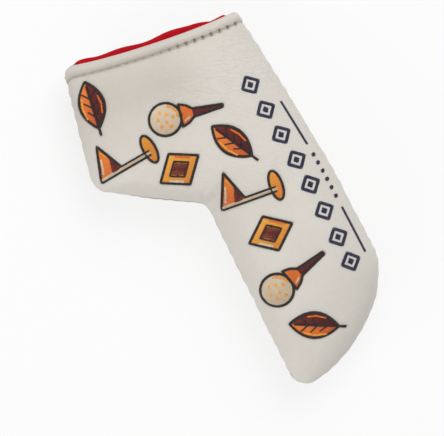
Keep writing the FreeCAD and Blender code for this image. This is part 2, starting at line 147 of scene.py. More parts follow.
# Border along the sole of the front wall; starts and ends are shares of the sole's length
BORDER_INSET = 12.5
BORDER_START = 0.14
BORDER_END = 0.77
BORDER_PITCH = 11.0
LOZENGE_HALF = 3.9
RULE_INSET = 5.0
RULE_START = 0.15
RULE_END = 0.68
RULE_BREAK = 0.22
DOT_PITCH = 4.0

# Stage and camera, in metres but for the lens
FLOOR_HALF = 3.0
LENS = 171.5
SENSOR = 36.0
EYE_HEIGHT = 0.93
AIM = (0.0022, 0.0067)     # how far the view's middle lies left of and below the box's


def smooth(value):
    value = np.clip(value, 0.0, 1.0)
    return value * value * (3.0 - 2.0 * value)


def unit(vector):
    return vector / np.linalg.norm(vector)


class Seam:
    """A run of straight lines joined by tangent arcs in plan, read by the share of its length."""

    ARC_STEPS = 24
    HEADING_STEP = 1.0 / 150.0

    def __init__(self, corners):
        points = [np.array(corners[0][:2], float)]
        for before, corner, after in zip(corners, corners[1:], corners[2:]):
            middle = np.array(corner[:2], float)
            back = unit(np.array(before[:2]) - middle)
            ahead = unit(np.array(after[:2]) - middle)
            half = math.acos(max(-1.0, min(1.0, float(back @ ahead)))) / 2.0
            centre = middle + unit(back + ahead) * corner[2] / math.sin(half)
            arm = middle + back * corner[2] / math.tan(half) - centre
            turn = (math.pi - 2.0 * half) * np.sign(ahead[0] * back[1] - ahead[1] * back[0])
            for step in range(self.ARC_STEPS + 1):
                angle = turn * step / self.ARC_STEPS
                cosine, sine = math.cos(angle), math.sin(angle)
                points.append(centre + np.array([arm[0] * cosine - arm[1] * sine,
                                                 arm[0] * sine + arm[1] * cosine]))
        points.append(np.array(corners[-1][:2], float))
        self.points = np.array(points)
        steps = np.linalg.norm(np.diff(self.points, axis=0), axis=1)
        self.reach = np.concatenate([[0.0], np.cumsum(steps)])
        self.length = float(self.reach[-1])

    def point(self, share):
        place = np.clip(share, 0.0, 1.0) * self.length
        return np.stack([np.interp(place, self.reach, self.points[:, axis]) for axis in (0, 1)], -1)

    def heading(self, share):
        ahead = self.point(share + self.HEADING_STEP) - self.point(share - self.HEADING_STEP)
        return ahead / np.linalg.norm(ahead, axis=-1, keepdims=True)


sole = Seam(SOLE_CORNERS)
top = Seam(TOP_CORNERS)
mouth_middle = (sole.point(1.0) + top.point(1.0)) / 2.0
mouth_rise = unit(top.point(1.0) - sole.point(1.0))
mouth_out = np.array([mouth_rise[1], -mouth_rise[0]])


def corner_draw(distance, radius):
    """How far the mouth's edge is drawn back beside its end, to round the corner there."""
    inside = np.clip(radius - distance, 0.0, radius)
    return radius - np.sqrt(radius ** 2 - inside ** 2)


def toe_draw(distance):
    """How far the toe line is drawn back along the upper seam, to round the corner between them."""
    arms = (unit(sole.points[0] - top.points[0]), unit(top.points[1] - top.points[0]))
    half = math.acos(float(arms[0] @ arms[1])) / 2.0
    centre = unit(arms[0] + arms[1]) * TOE_TOP_RADIUS / math.sin(half)
    offset = distance[..., None] * arms[0] - centre
    along = offset @ arms[1]
    inside = TOE_TOP_RADIUS ** 2 - (offset ** 2).sum(axis=-1) + along ** 2
    draw = -along - np.sqrt(np.maximum(inside, 0.0))
    return np.where(distance < TOE_TOP_RADIUS / math.tan(half), draw, 0.0)


def inset(seam, share, toward, depth):
    """Points of a seam moved inside it by a depth, each in the direction of another point."""
    point = seam.point(share)
    inward = toward - point
    inward = inward / np.linalg.norm(inward, axis=-1, keepdims=True)
    heading = seam.heading(share)
    slant = np.abs(inward[..., 0] * heading[..., 1] - inward[..., 1] * heading[..., 0])
    return point + inward * (depth / np.maximum(slant, LEAST_SLANT))[..., None]


def overhang(part):
    """How far the back wall's edge stands out past the front one, from the sole up the mouth."""
    begun = smooth((part - 0.04) / 0.19)
    reach = (BACK_OVERHANG + CORNER_SHORTFALL) * begun - CORNER_SHORTFALL
    reach = reach - UPPER_FALL * smooth((part - 0.40) / 0.40)
    reach = reach - NECK_FALL * smooth((part - 0.88) / 0.14)
    return reach + OVERHANG_WAVE * begun * np.cos(2 * math.pi * (part - 0.37) / 0.32)


def wall_plan(side, start, share, across, drawn_in):
    """Where a wall's rows and columns lie in the plan."""
    paired = share + (1.0 - sole.length / top.length) * share * (1.0 - share)
    low = inset(sole, share, top.point(paired), drawn_in)
    high = inset(top, paired, sole.point(share), drawn_in)
    blend = (1.0 - np.cos(math.pi * across)) / 2.0
    span = high - low
    width = np.linalg.norm(span, axis=-1)
    plan = low[:, None] + span[:, None] * blend[None, :, None]
    # The mouth's corners are rounded.
    draw = corner_draw(width[:, None] * blend, MOUTH_FOOT_RADIUS)
    draw = draw + corner_draw(width[:, None] * (1.0 - blend), MOUTH_TOP_RADIUS)
    draw = draw * smooth((share - 1.0 + CORNER_REACH) / CORNER_REACH)[:, None]
    plan = plan - mouth_out * draw[..., None]
    # The toe line bows out, and the mouth's edge dips between its corners.
    arch = 4.0 * blend * (1.0 - blend)
    toeward = np.stack([-span[:, 1], span[:, 0]], -1) / width[:, None]
    bulge = TOE_BULGE * arch[None, :] * ((1.0 - np.minimum(share, 1.0)) ** 4)[:, None]
    plan = plan + toeward[:, None] * bulge[..., None]
    dip = -MOUTH_DIP * np.sqrt(arch)
    if side == BACK:
        dip = dip + overhang(blend)
    reach = dip[None, :] * smooth((share - 0.75) / 0.25)[:, None]
    plan = plan + mouth_out * reach[..., None]
    plan = plan + mouth_out * (np.maximum(share - 1.0, 0.0) * sole.length)[:, None, None]
    # The toe's tip is rounded.
    fading = 1.0 - smooth((share - start) / TOE_REACH)
    tip = toe_draw(width[:, None] * (1.0 - blend)) * fading[:, None]
    return plan + top.heading(0.02) * tip[..., None]


def wall_height(side, start, depth, share, across, plan):
    """How far a wall stands from the seam: fullest over the belly, thinner at neck and mouth."""
    rise = np.clip((share - start) / (TOE_RISE - start), 0.0, 1.0)
    toe_round = np.sqrt(1.0 - (1.0 - rise) ** 2)
    thinning = smooth((share - BELLY_END) / (1.0 - BELLY_END))
    neck = 1.0 - NECK_THINNING * smooth((plan[..., 1] - 0.7 * POCKET_TOP) / (0.6 * POCKET_TOP))
    belly = FRONT_BELLY if side == FRONT else BACK_BELLY
    full = MOUTH_HALF + (belly - MOUTH_HALF) * (1.0 - thinning)[:, None] * neck - depth[:, None]
    edge = np.sin(math.pi * across) * (1.0 + EDGE_FULLNESS * np.cos(math.pi * across) ** 2)
    height = full * toe_round[:, None] * edge[None, :]
    if side == FRONT:
        return height * (1.0 + FRONT_SKEW * np.cos(math.pi * across))
    # The back wall rests flat where it would reach below the floor.
    limit = SEAM_LEVEL - depth[:, None]
    mix = np.maximum(REST_SOFTNESS - np.abs(height - limit), 0.0) / REST_SOFTNESS
    height = np.minimum(height, limit) - mix * mix * REST_SOFTNESS / 4.0
    height = np.maximum(height, 0.0)
    height[:, [0, -1]] = 0.0
    return height


def wall_points(side, depth, share, across, drawn_in=None):
    """Points of one wall: rows given by depth and share (equal lengths), columns by across.
    drawn_in is how far the seam edges lie inside the outline, where that isn't the depth."""
    depth = np.asarray(depth, float)
    share = np.asarray(share, float)
    start = np.maximum(depth, 0.0) / sole.length
    plan = wall_plan(side, start, share, across, depth if drawn_in is None else drawn_in)
    level = SEAM_LEVEL + side * wall_height(side, start, depth, share, across, plan)
    return np.concatenate([plan, level[..., None]], -1)


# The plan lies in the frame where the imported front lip's fold is: a lip's depth in from the mouth.
fold_plan = mouth_middle - mouth_out * LIP_DEPTH
fold_joint = next(joint for joint in frame["record"]["behaviour"]["joints"]
                  if joint["name"] == "front_lip_fold")
SHIFT = np.array([fold_joint["pos_m"][0] / MM - fold_plan[0],
                  fold_joint["pos_m"][1] / MM - fold_plan[1], 0.0])


def place(points):
    """Plan places in millimetres, as places in the frame in metres."""
    return (np.asarray(points, float) + SHIFT) * MM


def plan_places(piece):
    """A piece's vertices in the cover's plan."""
    return np.array([vertex.co for vertex in piece.data.vertices]) / MM - SHIFT


def toe_to_mouth(depth, end, count):
    """Shares from the toe seam to 'end', closer together at the toe."""
    start = max(depth, 0.0) / sole.length
    part = np.linspace(0, 1, count)
    return start + (end - start) * part * part / (part + 0.15) * 1.15


def grid_faces(rows, columns, flip):
    """Quads between rows and columns of points, turned over where flip is set."""
    faces = []
    for row in range(rows - 1):
        base = row * columns
        for column in range(columns - 1):
            face = (base + column, base + columns + column,
                    base + columns + column + 1, base + column + 1)
            faces.append(face[::-1] if flip else face)
    return faces


def mesh_piece(name, points, faces, finish=None, edges=()):
    mesh = bpy.data.meshes.new(name)
    mesh.from_pydata([tuple(point) for point in points], list(edges), faces)
    if finish:
        mesh.materials.append(finish)
    mesh.shade_smooth()
    piece = bpy.data.objects.new(name, mesh)
    bpy.context.scene.collection.objects.link(piece)
    return piece


def grid_piece(name, points, flip, finish=None):
    """A sheet of quads through rows and columns of points in the plan."""
    return mesh_piece(name, place(points.reshape(-1, 3)), grid_faces(*points.shape[:2], flip), finish)


def add_values(piece, name, values):
    attribute = piece.data.attributes.new(name, "FLOAT", "POINT")
    attribute.data.foreach_set("value", np.asarray(values, np.float32).ravel())


def evaluated(piece):
    """Turns a piece with live modifiers into a plain mesh."""
    graph = bpy.context.evaluated_depsgraph_get()
    mesh = bpy.data.meshes.new_from_object(piece.evaluated_get(graph))
    piece.modifiers.clear()
    old = piece.data
    piece.data = mesh
    mesh.name = piece.name
    bpy.data.meshes.remove(old)
    return piece


def thicken(piece, thickness):
    """Gives a sheet its thickness, in millimetres, on its inner side."""
    solidify = piece.modifiers.new("wall", "SOLIDIFY")
    solidify.thickness = thickness * MM
    solidify.offset = -1.0
    solidify.use_even_offset = False
    return evaluated(piece)


# ==== Finishes ====

class Value:
    """A number from a socket; arithmetic on it adds Math nodes."""

    def __init__(self, finish, socket):
        self.finish = finish
        self.socket = socket

    def math(self, operation, *others, clamp=False):
        inputs = dict(enumerate((self,) + others))
        settings = {"operation": operation, "use_clamp": clamp}
        return self.finish.value("ShaderNodeMath", settings, inputs)

    def __add__(self, other):
        return self.math("ADD", other)

    __radd__ = __add__

    def __mul__(self, other):
        return self.math("MULTIPLY", other)

    __rmul__ = __mul__

    def __sub__(self, other):
        return self.math("SUBTRACT", other)

    def __rsub__(self, other):
        return (self * -1.0).math("ADD", other)

    def __pow__(self, other):
        return self.math("POWER", other)

    def __abs__(self):
        return self.math("ABSOLUTE")

    def clamped(self):
        return self.math("ADD", 0.0, clamp=True)


class Finish:
    """A procedural material for one of the cover's surfaces."""

    def __init__(self, name, **constants):
        self.material = bpy.data.materials.new(name)
        self.material.use_nodes = True
        self.tree = self.material.node_tree
        self.shader = self.tree.nodes["Principled BSDF"]
        self.position = self.node("ShaderNodeTexCoord").outputs["Object"]
        self.surface(**constants)

    def node(self, kind, settings=None, inputs=None):
        """Adds a node: its settings first, then the values or links of its sockets."""
        node = self.tree.nodes.new(kind)
        for name, setting in (settings or {}).items():
            setattr(node, name, setting)
        for name, source in (inputs or {}).items():
            self.feed(node.inputs[name], source)
        return node

    def value(self, kind, settings=None, inputs=None, output=0):
        """Adds a node and gives one of its outputs as a number to reckon with."""
        return Value(self, self.node(kind, settings, inputs).outputs[output])

    def feed(self, socket, source):
        if isinstance(source, Value):
            source = source.socket
        if isinstance(source, bpy.types.NodeSocket):
            self.tree.links.new(source, socket)
        else:
            socket.default_value = source

    def turned(self, scale, turn):
        """The object's coordinates turned about Z, then scaled per metre."""
        turned = self.node("ShaderNodeMapping", None, {
            "Vector": self.position, "Rotation": (0.0, 0.0, turn)}).outputs[0]
        return self.node("ShaderNodeMapping", None, {"Vector": turned, "Scale": scale}).outputs[0]

    def noise(self, scale, detail=2.0, roughness=0.5, vector=None):
        return self.value("ShaderNodeTexNoise", None, {
            "Vector": vector or self.position, "Scale": scale, "Detail": detail,
            "Roughness": roughness}, "Fac")

    def bands(self, direction, scale, distortion, detail=2.0):
        return self.value("ShaderNodeTexWave", {"wave_type": "BANDS", "bands_direction": direction}, {
            "Vector": self.position, "Scale": scale, "Distortion": distortion,
            "Detail": detail}, "Fac")

    def cells(self, scale, feature="F1", **more):
        return self.value("ShaderNodeTexVoronoi", {"feature": feature}, {
            "Vector": self.position, "Scale": scale, **more}, "Distance")

    def attribute(self, name):
        return self.value("ShaderNodeAttribute", {"attribute_name": name}, None, "Fac")

    def mix(self, amount, first, second):
        """One colour turning into another; a Mix node's colours are its inputs 6 and 7."""
        return self.node("ShaderNodeMix", {"data_type": "RGBA"}, {
            "Factor": amount, 6: first, 7: second}).outputs[2]

    def bump(self, height, distance, strength=1.0, under=None):
        inputs = {"Height": height, "Distance": distance, "Strength": strength}
        if under is not None:
            inputs["Normal"] = under
        return self.node("ShaderNodeBump", None, inputs).outputs[0]

    def surface(self, **sockets):
        for name, source in sockets.items():
            self.feed(self.shader.inputs[name.replace("_", " ")], source)
        return self.material


def colour(red, green, blue):
    """A colour given as it looks on a screen, from 0 to 255, in the linear values of a shader."""
    linear = [(part / 255.0 / 12.92) if part <= 10 else ((part / 255.0 + 0.055) / 1.055) ** 2.4
              for part in (red, green, blue)]
    return (*linear, 1.0)


def leather_finish():
    """Off-white pebbled leather: fine grain, shallow creases along the mouth, and painted shade in its
    folds, groove and seam and below the hem.
    """
    finish = Finish("off_white_leather", Specular_IOR_Level=0.4, Sheen_Weight=0.08,
                    Sheen_Roughness=0.5)
    tone = finish.noise(34.0, 3.0, 0.6)
    fine_tone = finish.noise(420.0, 2.0, 0.5)
    # Painted shade: the mesh's shade attribute darkens the colour towards a shadowed brown.
    fold = finish.attribute("fold_shade")
    base = finish.mix(tone, colour(205, 199, 190), colour(217, 212, 204))
    base = finish.mix((fine_tone * 0.35).clamped(), base, colour(196, 189, 178))
    base = finish.mix(fold.clamped(), base, colour(120, 110, 98))
    grain = finish.cells(1050.0, "SMOOTH_F1", Smoothness=0.6)
    along_crease = finish.turned((520.0, 150.0, 300.0), CREASE_LEAN)
    crease = 1.0 - abs(finish.noise(1.0, 2.0, 0.5, along_crease) - 0.5) * 7.0
    crease = (crease.clamped() ** 2.0) * finish.attribute("creased")
    soft = finish.noise(260.0, 3.0, 0.6)
    relief = finish.bump(grain, 0.00010, 0.75)
    relief = finish.bump(soft, 0.00016, 0.6, relief)
    relief = finish.bump(crease * -1.0, 0.0002, 0.75, relief)
    roughness = 0.50 + tone * 0.14 + grain * 0.10
    return finish.surface(Base_Color=base, Roughness=roughness, Normal=relief)


def lining_finish():
    """Bright red knit with a short brushed pile."""
    finish = Finish("red_lining", Sheen_Weight=0.3, Sheen_Roughness=0.45, Roughness=0.85,
                    Sheen_Tint=colour(226, 60, 60), Specular_IOR_Level=0.1)
    pile = finish.noise(1500.0, 3.0, 0.7)
    patch = finish.noise(120.0, 3.0, 0.6)
    base = finish.mix(patch, colour(176, 10, 22), colour(226, 24, 40))
    base = finish.mix((pile * 0.5).clamped(), base, colour(122, 4, 14))
    knit = finish.bands("Y", 420.0, 2.0, 1.0)
    relief = finish.bump(knit, 0.00012, 0.5)
    relief = finish.bump(pile, 0.0002, 0.8, relief)
    return finish.surface(Base_Color=base, Normal=relief)


def foam_finish():
    """Open-celled padding."""
    finish = Finish("padding_foam", Roughness=0.95, Specular_IOR_Level=0.1)
    cells = finish.cells(1400.0)
    base = finish.mix(cells, colour(170, 168, 160), colour(214, 212, 204))
    return finish.surface(Base_Color=base, Normal=finish.bump(cells, 0.0003, 0.8))


def thread_finish(name, dark, light):
    """Twisted thread: its tone changes from stitch to stitch, and its plies show as fine ribs."""
    finish = Finish(name, Sheen_Weight=0.25, Sheen_Roughness=0.35, Specular_IOR_Level=0.45)
    tone = finish.attribute("thread_tone")
    speckle = finish.noise(2600.0, 2.0, 0.6)
    base = finish.mix((tone * 0.75 + speckle * 0.25).clamped(), colour(*dark), colour(*light))
    relief = finish.bump(finish.bands("DIAGONAL", 1900.0, 1.5), 0.00005, 0.6)
    return finish.surface(Base_Color=base, Roughness=0.42 + speckle * 0.2, Normal=relief)


def tape_finish():
    """Black woven nylon with a little fuzz."""
    finish = Finish("nylon_tape", Roughness=0.8, Specular_IOR_Level=0.25)
    weave = finish.bands("X", 700.0, 0.6)
    fuzz = finish.noise(1800.0, 2.0, 0.6)
    base = finish.mix((weave * 0.5 + fuzz * 0.5).clamped(), colour(12, 12, 13), colour(42, 42, 44))
    return finish.surface(Base_Color=base, Normal=finish.bump(weave + fuzz, 0.00012, 0.7))


LEATHER_FINISH = leather_finish()
LINING_FINISH = lining_finish()
FOAM_FINISH = foam_finish()
SEWING_FINISH = thread_finish("sewing_thread", (176, 168, 155), (216, 209, 197))
THREADS = {
    "orange": thread_finish("orange_thread", (206, 84, 22), (240, 138, 48)),
    "amber": thread_finish("amber_thread", (222, 132, 32), (250, 186, 78)),
    "maroon": thread_finish("maroon_thread", (74, 16, 14), (120, 30, 26)),
    "cream": thread_finish("cream_thread", (196, 172, 140), (236, 220, 196)),
    "black": thread_finish("black_thread", (20, 17, 17), (46, 41, 40)),
    "navy": thread_finish("navy_thread", (22, 24, 48), (48, 52, 84)),
}
TAPE_FINISH = tape_finish()


# ==== Motifs: flat drawings in millimetres, y up, before they are turned and laid on a panel ====

def oval(x, y, wide, tall, count=40):
    angles = np.linspace(0, 2 * math.pi, count, endpoint=False)
    return np.stack([x + wide * np.cos(angles), y + tall * np.sin(angles)], -1)


def circle(x, y, radius, count=40):
    return oval(x, y, radius, radius, count)


def shape(*points):
    return np.array(points, float)


def leaf_side(length, width, side, count=18):
    """Half of a pointed leaf: the midrib and one curved edge."""
    along = np.linspace(-1, 1, count)
    edge = np.stack([along * length, side * width * (1 - along ** 2)], -1)
    return np.concatenate([edge, np.array([[length, 0.0], [-length, 0.0]])])[::side]


def flag_design():
    pennant = shape((-3.6, 3.4), (9.2, 8.2), (-3.6, 13.0))
    stripe = shape((-3.6, 3.4), (2.8, 5.8), (-3.6, 8.2))
    return {
        "fills": [
            ("amber", oval(-2.6, -11.0, 6.0, 2.3), 0.0, UNDER),
            ("cream", shape((-4.7, -11), (-3.3, -11), (-3.3, 13.2), (-4.7, 13.2)), 0.0, OVER),
            ("orange", pennant, 90.0, UNDER),
            ("maroon", stripe, 90.0, OVER),
        ],
        "lines": [
            (oval(-2.6, -11.0, 6.3, 2.6), True, 1.0),
            (shape((-5.0, -10.6), (-5.0, 13.4)), False, 0.8),
            (shape((-3.1, -10.6), (-3.1, 3.2)), False, 0.8),
            (shape((-5.0, 13.6), (-3.4, 13.4), (9.6, 8.2), (-3.2, 3.1)), False, 1.1),
        ],
        "accents": [("cream", shape((-2.2, 11.2), (0.6, 10.2), (4.0, 9.2)), 0.7),
                    ("amber", shape((3.6, 6.8), (6.6, 8.0)), 0.8)],
    }


def tee_design():
    cup = shape((-4.6, 0.4), (-3.4, -2.2), (-1.6, -4.4), (1.6, -4.4), (3.4, -2.2), (4.6, 0.4))
    stem = shape((-1.6, -4.4), (-0.5, -17.0), (0.5, -17.0), (1.6, -4.4))
    dimples = [oval(x, y, 0.75, 0.75, 10) for x, y in (
        (-2.9, 9.6), (0.2, 10.6), (3.2, 9.2), (-1.4, 7.2), (1.9, 6.6), (-3.6, 5.6), (0.3, 4.1))]
    return {
        "fills": [
            ("cream", circle(0, 7.5, 6.8), 20.0, UNDER),
            ("orange", cup, 0.0, UNDER),
            ("maroon", stem, 0.0, UNDER),
        ] + [("amber", dimple, 90.0, OVER) for dimple in dimples],
        "lines": [
            (circle(0, 7.5, 6.9, 60), True, 1.1),
            (shape((-4.9, 0.9), (-3.7, -2.3), (-1.8, -4.6), (-0.6, -17.4), (0.6, -17.4),
                   (1.8, -4.6), (3.7, -2.3), (4.9, 0.9)), True, 1.0),
        ],
        "accents": [("amber", circle(0, 7.5, 5.6)[30:39], 0.8),
                    ("cream", shape((-2.6, -0.6), (-1.4, -3.2)), 0.7)],
    }


def leaf_design():
    edge = np.concatenate([leaf_side(10.4, 5.4, 1)[:-2], leaf_side(10.4, 5.4, -1)[2:]])
    veins = []
    for foot in (-5.4, -1.4, 2.6):
        for side in (-1, 1):
            tip = (foot + 3.0, side * 3.2 * (1 - (foot / 11.5) ** 2))
            veins.append((shape((foot, 0.0), tip), False, 0.55))
    return {
        "fills": [
            ("orange", leaf_side(10.0, 5.1, 1), 118.0, UNDER),
            ("maroon", leaf_side(10.0, 5.1, -1), 62.0, UNDER),
        ],
        "lines": [
            (edge, True, 1.1),
            (shape((-13.6, 0.0), (8.6, 0.0)), False, 0.9),
        ] + veins,
        "accents": [("amber", shape((-5.4, 3.4), (-0.6, 4.2), (4.2, 3.4)), 0.7),
                    ("orange", shape((-4.6, -3.4), (-0.6, -4.1), (3.4, -3.5)), 0.6)],
    }


def diamond_design():
    outer = shape((0, -9.8), (7.8, 0), (0, 9.8), (-7.8, 0))
    inner = outer * 0.5
    return {
        "fills": [("amber", outer, 55.0, UNDER), ("maroon", inner, -55.0, OVER)],
        "lines": [(outer, True, 1.1), (inner, True, 0.8)],
        "accents": [("cream", shape((-5.4, 1.4), (-1.6, 6.2)), 0.8),
                    ("orange", shape((1.4, -6.6), (5.4, -1.6)), 0.9)],
    }


DESIGNS = {"flag": flag_design(), "tee": tee_design(), "leaf": leaf_design(),
           "diamond": diamond_design()}

# Where each motif is sewn: its x and y in the plan, and its turn in degrees
MOTIFS = {
    FRONT: [
        ("leaf", 22.0, 38.0, 62.0),
        ("tee", 44.0, 38.5, 14.0),
        ("diamond", 65.0, 38.0, 0.0),
        ("flag", 86.0, 38.0, -6.0),
        ("leaf", 107.0, 36.0, 28.0),
        ("diamond", 106.0, 61.0, 10.0),
        ("tee", 126.0, 50.0, -12.0),
        ("flag", 121.0, 80.0, 4.0),
        ("leaf", 147.0, 83.0, -8.0),
    ],
    BACK: [
        ("leaf", 20.0, 36.0, 62.0),
        ("tee", 129.0, 49.0, 10.0),
        ("flag", 122.0, 78.0, 0.0),
        ("leaf", 147.0, 83.5, -8.0),
    ],
}


def laid(points, x, y, turn):
    """A drawing turned by degrees and moved to its place."""
    angle = math.radians(turn)
    cosine, sine = math.cos(angle), math.sin(angle)
    return np.stack([x + points[:, 0] * cosine - points[:, 1] * sine,
                     y + points[:, 0] * sine + points[:, 1] * cosine], -1)


# ==== Leather panels ====

def value_noise(points, size, seed):
    """Smooth noise from -1 to 1 on a lattice of the given cell size, for arrays of points."""
    scaled = np.asarray(points, float) / size + 1000.0 + seed * 17.31
    cell = np.floor(scaled).astype(np.int64)
    part = smooth(scaled - cell)
    total = np.zeros(scaled.shape[:-1])
    axes = scaled.shape[-1]
    for corner in range(2 ** axes):
        offset = np.array([(corner >> axis) & 1 for axis in range(axes)])
        key = cell + offset
        mixed = np.full(key.shape[:-1], seed * 7919 + 12345, np.int64)
        for axis in range(axes):
            mixed = (mixed ^ (key[..., axis] * (73856093, 19349663, 83492791)[axis])) & 0x7FFFFFFF
            mixed = (mixed * 1103515245 + 12345) & 0x7FFFFFFF
        level = (mixed % 20011) / 10005.0 - 1.0
        weight = np.prod(np.where(offset == 1, part, 1.0 - part), axis=-1)
        total += weight * level
    return total


def lengths(vectors):
    """Lengths along the last axis, kept as an axis, and never quite nothing."""
    return np.maximum(np.linalg.norm(vectors, axis=-1, keepdims=True), 1e-9)


def hem_rows():
    """Distance in from the mouth and depth of each row of the leather round its hem."""
    rows = [(4.4, BEAD_FOOT)]
    centre = (BEAD_TOP + BEAD_FOOT) / 2.0
    half_depth = (BEAD_FOOT - BEAD_TOP) / 2.0
    half_width = HEM_WIDTH / 2.0
    for step in range(17):
        angle = -math.pi / 2 + math.pi * step / 16.0
        rows.append((half_width * (1.0 - math.cos(angle)), centre - half_depth * math.sin(angle)))
    for step in range(1, 9):
        part = step / 8.0
        fall = 1.0 - math.sqrt(1.0 - part ** 2)
        rows.append((half_width + (GROOVE_AT - half_width) * part,
                     BEAD_TOP + (GROOVE_DEPTH - BEAD_TOP) * fall))
    for step in range(1, 13):
        part = step / 12.0
        rows.append((GROOVE_AT + (GROOVE_END - GROOVE_AT) * part ** 1.2,
                     GROOVE_DEPTH * (1.0 - part) ** 2.6))
    return rows[::-1]


def leather_grid(side, along, columns):
    """The share of each row of a wall's leather, and its points before they are given relief."""
    hem = hem_rows()
    panel = toe_to_mouth(0.0, 1.0 - GROOVE_END / sole.length, along)[:-1]
    share = np.concatenate([panel, [1.0 - distance / sole.length for distance, _ in hem]])
    depth = np.concatenate([np.zeros(len(panel)), [level for _, level in hem]])
    drawn_in = depth * (0.25 + 0.75 * smooth((depth - 1.2) / 2.5))
    return share, wall_points(side, depth, share, np.linspace(0, 1, columns), drawn_in)


def grid_normals(points, side):
    along = np.gradient(points, axis=0)
    across = np.gradient(points, axis=1)
    normal = np.cross(along, across)
    return normal / lengths(normal) * side


def motif_distance(plan, motifs):
    """Distance from each place to the nearest outline of a motif, and whether it is inside one."""
    nearest = np.full(plan.shape[:-1], 99.0)
    within = np.zeros(plan.shape[:-1], bool)
    for kind, x, y, turn in motifs:
        for line, closed, _ in DESIGNS[kind]["lines"]:
            points = laid(line, x, y, turn)
            ends = np.roll(points, -1, axis=0) if closed else points[1:]
            starts = points if closed else points[:-1]
            near = (np.abs(plan[..., 0] - x) < 22) & (np.abs(plan[..., 1] - y) < 22)
            spots = plan[near]
            best = nearest[near]
            inside = np.zeros(len(spots), bool)
            for a, b in zip(starts, ends):
                run = b - a
                part = np.clip(((spots - a) @ run) / max(run @ run, 1e-9), 0, 1)
                gap = np.linalg.norm(spots - a - part[:, None] * run, axis=-1)
                best = np.minimum(best, gap)
                if closed:
                    crosses = (a[1] > spots[:, 1]) != (b[1] > spots[:, 1])
                    slope = run[0] / (run[1] if abs(run[1]) > 1e-9 else 1e-9)
                    inside ^= crosses & (spots[:, 0] < a[0] + (spots[:, 1] - a[1]) * slope)
            nearest[near] = best
            within[near] |= inside
    return nearest, within


# Folds from the neck's inner corner: depth, middle and half length, then heading and spread
NECK_FOLDS = ((0.55, 9.0, 9.0, 1.12, 0.30),
              (0.35, 12.0, 9.0, 1.95, 0.22),
              (0.40, 11.0, 8.0, 0.38, 0.24))
NECK_CORNER = (86.5, 58.5)


def hump(distance, width):
    """A smooth rise round a distance of nothing."""
    return np.exp(-(distance / width) ** 2)


def leather_relief(side, share, points):
    """How far each point of a panel stands out, how much shade is painted on it, and how creased it is."""
    plan = points[..., :2]
    seam_rise = np.abs(points[..., 2] - SEAM_LEVEL)
    from_mouth = np.repeat(((1.0 - share) * sole.length)[:, None], points.shape[1], axis=1)
    in_panel = smooth((from_mouth - GROOVE_AT) / 4.0)
    # The padding underneath is a little uneven.
    relief = 0.55 * value_noise(points, 31.0, 1 + side) + 0.30 * value_noise(points, 15.0, 5 + side)
    relief += 0.10 * value_noise(points, 6.5, 9)
    # Ripples that run along the mouth, strongest in the middle and towards the heel.
    rippled = smooth((plan[..., 0] - 48.0) / 60.0) * smooth(seam_rise / 7.0)
    rippled = rippled * (0.18 + 0.82 * smooth((78.0 - plan[..., 1]) / 42.0))
    rippled = rippled * (0.75 + 0.5 * value_noise(plan, 16.0, 41))
    crease = np.array([math.sin(CREASE_LEAN), math.cos(CREASE_LEAN)])
    over_crease = np.array([crease[1], -crease[0]])
    turned = np.stack([plan @ over_crease / 3.6, plan @ crease / 12.0, points[..., 2] / 30.0], -1)
    ripple = value_noise(turned, 1.0, 21) + 0.5 * value_noise(turned * 1.9, 1.0, 22)
    relief += 0.13 * ripple * rippled
    # Puckers where the seam draws the leather in.
    gather = np.sin(plan[..., 0] * 2 * math.pi / 6.3 + 3.0 * value_noise(plan, 14.0, 31))
    gather = gather * np.sin(plan[..., 1] * 2 * math.pi / 7.9 + 2.0 * value_noise(plan, 11.0, 33))
    relief += 0.22 * gather * hump(seam_rise, 4.2) * smooth((from_mouth - 3.0) / 5.0)
    # Folds that fan out from the inner corner of the neck.
    corner = plan - np.array(NECK_CORNER)
    reach = np.linalg.norm(corner, axis=-1)
    angle = np.arctan2(corner[..., 1], corner[..., 0])
    for fold, middle, half_length, heading, spread in NECK_FOLDS:
        relief -= fold * hump(reach - middle, half_length) * hump(angle + heading, spread)
    # Embroidery draws the leather in round its edge and holds it flat inside.
    nearest, within = motif_distance(plan, MOTIFS[side])
    relief = np.where(within, relief * 0.75, relief) - 0.28 * hump(nearest, 1.5)
    relief = relief * np.where(from_mouth < GROOVE_AT, 0.25, 1.0) * (0.25 + 0.75 * in_panel)
    # The seam itself lies in a crease.
    relief -= 0.5 * np.exp(-(seam_rise / 0.9) ** 1.5)
    # The topstitching dives through the leather between its dashes, tightest towards the sole.
    along = (plan - mouth_middle) @ mouth_rise
    dive = np.cos(2 * math.pi * (along - TOPSTITCH_FIRST + TOPSTITCH_GAP / 2.0) / TOPSTITCH_PITCH)
    notch = np.maximum(dive, 0.0) ** 1.1 * (0.06 + 0.94 * smooth((2.0 - along) / 20.0))
    relief -= 0.45 * notch * hump(from_mouth - GROOVE_AT, 0.9)
    # Between the hem and the belly the leather has little behind it, and sags.
    relief -= 0.9 * hump(from_mouth - 17.0, 8.0) * smooth((34.0 - np.abs(along)) / 24.0)
    if side == BACK:
        resting = smooth((4.0 - points[..., 2]) / 3.5)
        relief = relief * (1.0 - resting)
    # Painted shade, where light falls off: in the seam's crease, in the hem's groove and its notches, on the
    # bead's side towards the toe, round the motifs, and over the sag below the hem.
    shade = 0.55 * hump(seam_rise, 0.8)
    shade = shade + (0.32 + 0.6 * notch) * hump(from_mouth - GROOVE_AT, 0.55 + 0.15 * notch)
    # Painted shade on the hem's bead, on its side towards the toe.
    shade = shade + 0.20 * hump(from_mouth - 3.9, 1.3)
    shade = shade + 0.10 * hump(nearest, 0.9)
    # Painted shade over the sag below the hem, which is turned away from the light.
    shade = shade + 0.20 * hump(from_mouth - 18.0, 16.0) * smooth((along + 24.0) / 26.0)
    return relief, shade, rippled


